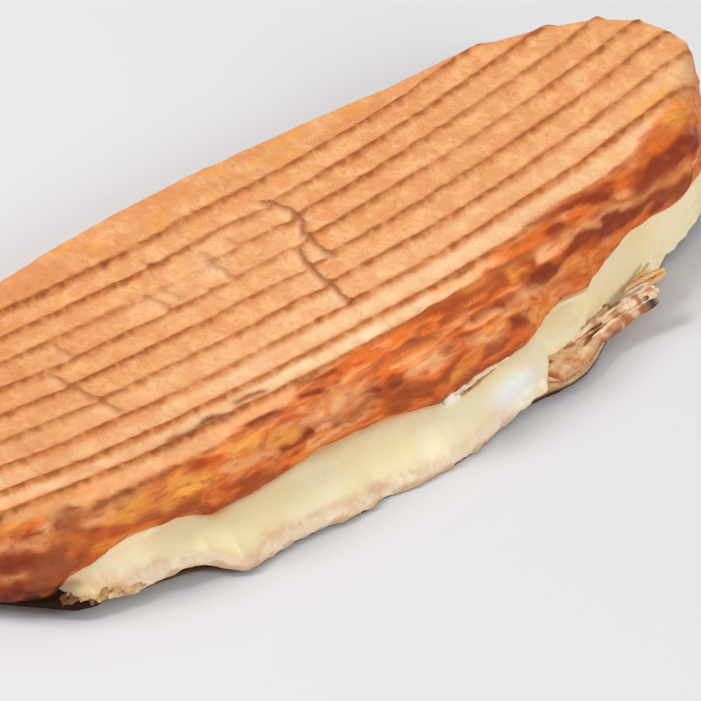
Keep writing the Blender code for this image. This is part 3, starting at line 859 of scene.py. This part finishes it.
crust_finish = Finish("toasted_crust", Roughness=0.6, Specular_IOR_Level=0.2)
crust_finish.start((0.78, 0.325, 0.125))
crust_finish.tint((0.86, 0.43, 0.185), crust_finish.speckle(0.006, 0.42, 0.6))
crust_finish.dapple((0.76, 0.36, 0.11), 0.6, 0.0034, 0.5, 0.66)
crust_finish.dapple((0.88, 0.51, 0.26), 0.5, 0.0022, 0.55, 0.68)
crust_finish.dapple((0.62, 0.22, 0.07), 0.5, 0.0015, 0.52, 0.7, 2.0)
# Pale cream: the crumb underneath and pale flakes, plus painted highlight on the front ribs' crests and
# on the raised side of each crack.
crust_finish.paint((0.97, 0.74, 0.46), "pale")
side = crust_finish.mask("side")
crust_finish.tint((0.76, 0.155, 0.021), side)
smears = crust_finish.speckle(0.0026, 0.47, 0.6, 4.0, (0.18, 1.0, 1.0))
crust_finish.tint((0.86, 0.25, 0.052), crust_finish.times(side, smears, 0.75))
# Dark maroon in the low places of the side: partly the crust's own dark brown, partly painted shade.
crust_finish.paint((0.235, 0.026, 0.008), "shaded_hollow")
# Painted highlight: pale peach on the raised streaks and lumps of the browned side.
crust_finish.paint((0.95, 0.44, 0.185), "ridge_highlight")
crust_finish.paint((0.9, 0.39, 0.07), "gold")
spots = crust_finish.speckle(0.0015, 0.52, 0.68, 3.0, (0.22, 1.0, 1.0))
crust_finish.tint((0.38, 0.055, 0.015), crust_finish.times(side, spots, 0.5))
crust_finish.paint((0.66, 0.27, 0.095), "dashes")
crust_finish.paint((0.66, 0.235, 0.075), "baked")
in_groove = crust_finish.mask("pressed")
unsteady = crust_finish.times(crust_finish.noise(0.0026, 1.0), 0.0024)
from_groove = crust_finish.times(crust_finish.mask("gap"), unsteady, operation="ADD")
flank = crust_finish.between(from_groove, 0.0032, 0.0013)
crust_finish.tint((0.6, 0.195, 0.052), crust_finish.times(flank, in_groove, 0.85))
core = crust_finish.between(from_groove, 0.0021, 0.001)
crust_finish.tint((0.36, 0.1, 0.028), crust_finish.times(core, in_groove, 0.9))
# Painted shade: dark brown along the middle of each crack.
crust_finish.paint((0.36, 0.11, 0.032), "shaded_split")
crust_finish.paint((0.06, 0.018, 0.009), "char")
crust_finish.relief(crust_finish.speckle(0.0018, 0.3, 0.7, 2.0), 0.00016, 0.7)
crust_finish.shine(crust_finish.times(side, crust_finish.speckle(0.003, 0.35, 0.65)), 0.62, 0.36)


def crowded(low, high, steps):
    """Places from low to high, spread evenly over a sum that grows faster where a groove lies."""
    table = np.linspace(-0.06, 0.06, 2401)
    crowd = 1.0 + 2.5 * sum(bump(table, groove, 0.0011) for groove in groove_lines)
    total = np.cumsum(crowd) * (table[1] - table[0])
    start, stop = np.interp(low, table, total), np.interp(high, table, total)
    return np.interp(start + (stop - start) * steps, total, table)


# One ring at each place: over the front shoulder, across the top, down the rear and back below.
x = along(360)
lip_y = crust_front(x)
rear_y = back(x) - 0.0004 * narrowing(x)
end = (1.0 - np.abs(0.999 * share(x)) ** 22.0) ** (1.0 / 22.0)
seat = base_lip + crust_gap + (full + crust_gap - base_lip) * filling(x)
drooping = 0.0009 + 0.0005 * grain(on_axis(x), 0.0035, 23)
seat -= drooping * soft((-0.092 - x) / 0.008)
rear_seat = base_lip + crust_gap + (rear_seat_height - base_lip) * filling(x)
top = seat + (pressed_height - seat) * end
wide = rear_y - lip_y
foot = np.minimum(rear_tuck, 0.3 * wide)
rear_corner = rear_seat + np.maximum(top - rear_seat - rear_bevel, 0.3 * (top - rear_seat))
back_rise = line(x, (
    (-0.126, 0.0), (-0.06, 1.2), (-0.046, 1.5), (-0.01, 1.4), (0.008, 1.0), (0.02, 0.2),
    (0.04, -0.6), (0.055, -1.2), (0.068, -1.1), (0.085, 0.2), (0.126, 0.0),
))
roundness = 0.0068 + 0.005 * soft((x - 0.02) / 0.03)
shoulder = lip_y + np.minimum(roundness, 0.3 * wide)
rear_shoulder = rear_y - np.minimum(rear_round, 0.3 * wide)
turn = row(50, 0.5 * np.pi)[:, :-1]
rear_turn = row(16, 0.5 * np.pi)[:, ::-1]
rear_wall = row(7)[:, 1:]
across = row(163)[:, :-1]
inside = row(10)[:, 1:-1]
middle = centre_line(x)
ring_y = np.concatenate([
    shoulder - (shoulder - lip_y) * np.cos(turn) ** 0.85,
    middle + crowded(shoulder - middle, rear_shoulder - middle, across),
    rear_shoulder + (rear_y - rear_shoulder) * np.cos(rear_turn) ** 0.75,
    rear_y - foot * rear_wall**2,
    rear_y - foot + (lip_y - rear_y + foot) * inside,
], axis=1)
ring_z = np.concatenate([
    seat + (top - seat) * np.sin(turn) ** 0.85,
    top + 0.0 * across,
    rear_corner + (top - rear_corner) * np.sin(rear_turn) ** 0.75,
    rear_corner + (rear_seat - rear_corner) * rear_wall,
    rear_seat + (seat - rear_seat) * inside,
], axis=1)
high = held((ring_z - rear_seat) / 0.01)
ring_z += back_rise * soft((ring_y - middle - 0.032) / 0.01) * high
underneath = np.zeros((1, ring_y.shape[1]))
underneath[:, -inside.shape[1]:] = 1.0
outside = 1.0 - underneath
plan = rings(x, ring_y, ring_z + lift(x))
level_y = ring_y - middle
level = rings(x, level_y, ring_z)
fall = 1.0 - held((ring_z - seat) / (top - seat + 1e-9))

# The cracks, with one side of each raised and slipped, and where the browned side begins.
shaded_split = raised = slip = 0.0
tear = 0.0006 * mottle(plan, (0.003, 0.0016, 0.01), 2, 19)
for path in cracks:
    aside, level_with = crack(x + tear, ring_y, path)
    level_with *= min(1.0, 0.2 * len(path))  # short cracks are shallow
    shaded_split += level_with * bump(aside, 0.0, crack_spread)
    raised += level_with * np.where(aside < 0, np.exp(aside / 0.003), 0.0)
    slip += level_with * np.where(aside < 0, np.exp(aside / 0.007), 0.0)
rib_edge = line(x, rib_limit)
ragged = 0.0017 * mottle(plan, (0.008, 0.004, 0.01), 2, 17)
rib_fade = 0.0022 + 0.003 * soft((x - 0.07) / 0.03)
browned = (1.0 - soft((level_y + ragged - rib_edge) / rib_fade + 0.5)) * outside
toward_rear = soft((ring_y - middle) / 0.04 + 0.5)
rear_brown = soft((fall - 0.35 + 0.3 * grain(plan, 0.008, 18)) / 0.3) * toward_rear * outside
browned = np.maximum(browned, rear_brown)
browned = np.maximum(browned, soft((fall - 0.1) / 0.25) * outside * (1.0 - toward_rear))
on_top = (1.0 - browned) * outside

# The grooves: distance from the nearest one, and how hard the rib pressed.
flaky = bump(x, -0.014, 0.016) * bump(ring_y, 0.022, 0.012)
wander = 0.0004 * grain(plan, (0.02, 0.012, 0.02), 21)
wander += 0.00022 * grain(plan, (0.0024, 0.006, 0.01), 22)
low_right = 0.0007 * bump(x, 0.042, 0.034) * soft((0.004 - level_y) / 0.012)
groove_y = level_y + 0.0011 * slip + wander + low_right
gap = np.min([np.abs(groove_y - groove) for groove in groove_lines], axis=0)
pressed = 0.9 + 0.4 * grain(plan, (0.02, 0.007, 0.02), 33) - 0.55 * flaky
pressed += 0.45 * bump(x, -0.045, 0.028) * bump(ring_y, 0.033, 0.008)
pressed += 0.6 * bump(x, -0.03, 0.008) * bump(level_y, 0.0284, 0.002)
pressed += 0.35 * bump(x, -0.085, 0.035) * bump(level_y, -0.024, 0.012)
pressed = np.clip(pressed, 0.15, 1.25) * (on_top + 0.28 * browned)
shaded_split = held(shaded_split) * on_top
raised = held(raised) * on_top

# Height of the ribs, grooves, cracks and of the rough, streaky side.
warp = level + 0.0016 * grain(level, (0.012, 0.005, 0.005), 40)[..., None]
streaks = mottle(warp, (0.024, 0.0024, 0.0028), 2, 42)
lumps = mottle(warp, (0.008, 0.003, 0.0036), 2, 44)
fine = mottle(level, (0.003, 0.0012, 0.0014), 2, 47)
rough = 0.34 * lumps + 0.84 * streaks + 0.24 * fine
rough += 0.45 * mottle(level, (0.003, 0.002, 0.0022), 2, 48) * soft((-0.07 - x) / 0.02)
flakes = np.tanh(5.0 * grain(plan, (0.0045, 0.0035, 0.004), 51))
swell = 1.0 - (1.0 - held(gap / 0.003)) ** 2
height = rib_swell * swell * on_top - groove_depth * bump(gap, 0.0, groove_spread) * pressed
height = height - crack_depth * shaded_split + crack_lift * raised * (1.0 - shaded_split)
front_side = browned * (1.0 - toward_rear)
rear_side = browned * toward_rear
torn = level + 0.0009 * grain(level, (0.0045, 0.0018, 0.0018), 91)[..., None]
drawn = dict.fromkeys(smudges, 0.0)
for kind, strokes in smudges.items():
    for first, second, width, strength in strokes:
        drawn[kind] += strength * smudge(torn, first, second, width) * outside
worn = 0.75 + 0.45 * grain(level, (0.004, 0.0016, 0.0018), 92)
drawn = {kind: held(1.5 * amount * worn) for kind, amount in drawn.items()}
height = height + (0.0009 * rough - 0.0001) * front_side + 0.0003 * lumps * rear_side
height += 0.0005 * (drawn["ridge_highlight"] - drawn["shaded_hollow"]) * front_side
height += 0.00026 * flaky * flakes * on_top
height += (0.0002 * grain(plan, 0.011, 60) + 0.00012 * mottle(plan, 0.0028, 2, 61)) * on_top
height *= soft((half_long - np.abs(x)) / 0.004)
crust_grid = plan + facing(plan) * height[..., None]

# How much of each colour lies where.
gold = held(1.3 * grain(level, (0.011, 0.0035, 0.004), 71) - 0.6) * front_side
dark_zone = 0.25 * bump(x, 0.08, 0.028) + 0.28 * bump(x, -0.102, 0.016) * soft((fall - 0.25) / 0.4)
free = (1.0 - held(sum(drawn.values()))) * (1.0 - 0.65 * soft((x - 0.042) / 0.012))
pitted = 0.68 - 0.42 * bump(x, -0.0865, 0.0095)
# Darker where the relief lies low, on both sides: partly the crust's dark brown, partly painted shade.
shaded_hollow = soft((-rough + dark_zone - 0.05) / 0.5) * pitted * front_side * free
shaded_hollow += drawn["shaded_hollow"]
shaded_hollow += 0.6 * held(-lumps - 0.3) * rear_side
# Painted highlight on the high places of the rough side and along the ridge strokes.
ridge_highlight = soft((rough - dark_zone - 0.15) / 0.45) * 0.75 * front_side * free
ridge_highlight = ridge_highlight * (1.0 - 0.75 * soft((-0.066 - x) / 0.016)) + drawn["ridge_highlight"] * (1.0 - drawn["shaded_hollow"])
gold = gold * free + drawn["gold"] * 0.75 * (1.0 - drawn["shaded_hollow"])
low_left = soft((-0.088 - x) / 0.01) * soft((0.0052 + 0.002 * fine - ring_z) / 0.004) * outside
tongue = bump(x, 0.0572, 0.0014) * soft((fall - 0.8) / 0.15) * outside
char = 0.35 * drawn["shaded_hollow"] * (x < -0.045) * (ring_z > 0.0215) + 0.85 * low_left + 0.6 * tongue
baked = 0.34 * soft((-0.005 - x) / 0.075) + 0.3 * soft((level_y - 0.034) / 0.006)
baked *= 0.9 + 1.0 * mottle(plan, (0.007, 0.0035, 0.01), 3, 94)
rear_band = soft((level_y - 0.0345) / 0.004) * on_top
gold += 0.45 * rear_band * soft((grain(plan, (0.008, 0.003, 0.01), 95) - 0.15) / 0.4)
dashes = soft((grain(plan, (0.0017, 0.004, 0.01), 93) - 0.15) / 0.5)
broken = 0.3 + 0.7 * held(soft((-0.035 - x) / 0.05) + bump(level_y, -0.022, 0.007))
# Painted highlight: the crests of the ribs near the open side, away from the grooves, are painted pale
# cream where they turn towards the light.
front_rib_highlight = 0.85 * bump(level_y, -0.0224, 0.003) + 0.5 * bump(level_y, -0.0155, 0.003)
front_rib_highlight += 0.24 * bump(level_y, -0.0075, 0.004)
front_rib_highlight += 0.4 * bump(level_y, -0.0295, 0.0028) * soft((-0.03 - x) / 0.02)
patchy = 0.75 + 0.45 * grain(plan, (0.01, 0.004, 0.01), 85)
front_rib_highlight = front_rib_highlight * (1.0 - 0.3 * soft((-0.03 - x) / 0.04)) * soft(gap / 0.0022) * patchy
crust_masks = {
    "gap": gap,
    "pressed": pressed,
    # Painted shade along each crack.
    "shaded_split": held(0.95 * shaded_split),
    "side": browned * (1.0 - 0.35 * toward_rear),
    "gold": np.clip(gold, 0.0, 0.9),
    "dashes": 0.34 * dashes * broken * on_top,
    "baked": np.clip(baked, 0.0, 0.6) * on_top,
    "shaded_hollow": np.clip(shaded_hollow, 0.0, 0.9),
    "ridge_highlight": held(ridge_highlight),
    "char": held(char),
    # Pale: painted highlight on the front ribs and on the raised side of each crack, pale flakes, and
    # the pale crumb underneath.
    "pale": held((front_rib_highlight + 0.45 * raised + 0.1 * flaky) * on_top + underneath),
}
top_crust = skin("top_crust", [(crust_grid, crust_masks)], crust_finish.done())
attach(top_crust, "root")
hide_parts("top_bread")

# ------------------------------------------------------------
# Table, light and camera: a pale floor, broad soft lamps and a long lens from the open side.

bpy.ops.mesh.primitive_plane_add(size=6.0, location=(0.0, 0.0, 0.0))
table = bpy.context.object
table.name = "pale_table"
table_finish = bpy.data.materials.new("pale_table")
table_finish.use_nodes = True
table_shader = table_finish.node_tree.nodes["Principled BSDF"]
sockets(table_shader, Base_Color=(0.715, 0.715, 0.72, 1.0), Roughness=0.9)
table.data.materials.append(table_finish)

world = bpy.data.worlds.new("studio")
bpy.context.scene.world = world
world.use_nodes = True
sockets(world.node_tree.nodes["Background"], Color=(1.0, 1.0, 1.0, 1.0), Strength=0.485)


def lamp(name, place, size, power):
    """A square soft lamp aimed at the middle of the sandwich."""
    light = bpy.data.lights.new(name, "AREA")
    light.size = size
    light.energy = power
    fixture = bpy.data.objects.new(name, light)
    fixture.location = place
    fixture.rotation_euler = (-Vector(place)).to_track_quat("-Z", "Y").to_euler()
    bpy.context.scene.collection.objects.link(fixture)


lamp("window", (-0.9, 0.7, 1.1), 0.55, 18.4)
lamp("front_fill", (0.3, -1.3, 0.8), 0.5, 7.7)

view_azimuth, view_elevation = math.radians(-42.4), math.radians(37.0)
view_distance = 3.0
view_width = 0.1584
view_target = Vector((0.01164, -0.00389, 0.0011))
backwards = Vector((
    math.sin(view_azimuth) * math.cos(view_elevation),
    -math.cos(view_azimuth) * math.cos(view_elevation),
    math.sin(view_elevation),
))
camera = bpy.data.objects.new("camera", bpy.data.cameras.new("camera"))
camera.location = view_target + backwards * view_distance
camera.rotation_euler = backwards.to_track_quat("Z", "Y").to_euler()
camera.data.sensor_width = 36.0
camera.data.lens = 36.0 * view_distance / view_width
camera.data.clip_end = 20.0
bpy.context.scene.collection.objects.link(camera)
bpy.context.scene.camera = camera
bpy.context.scene.view_settings.view_transform = "Standard"
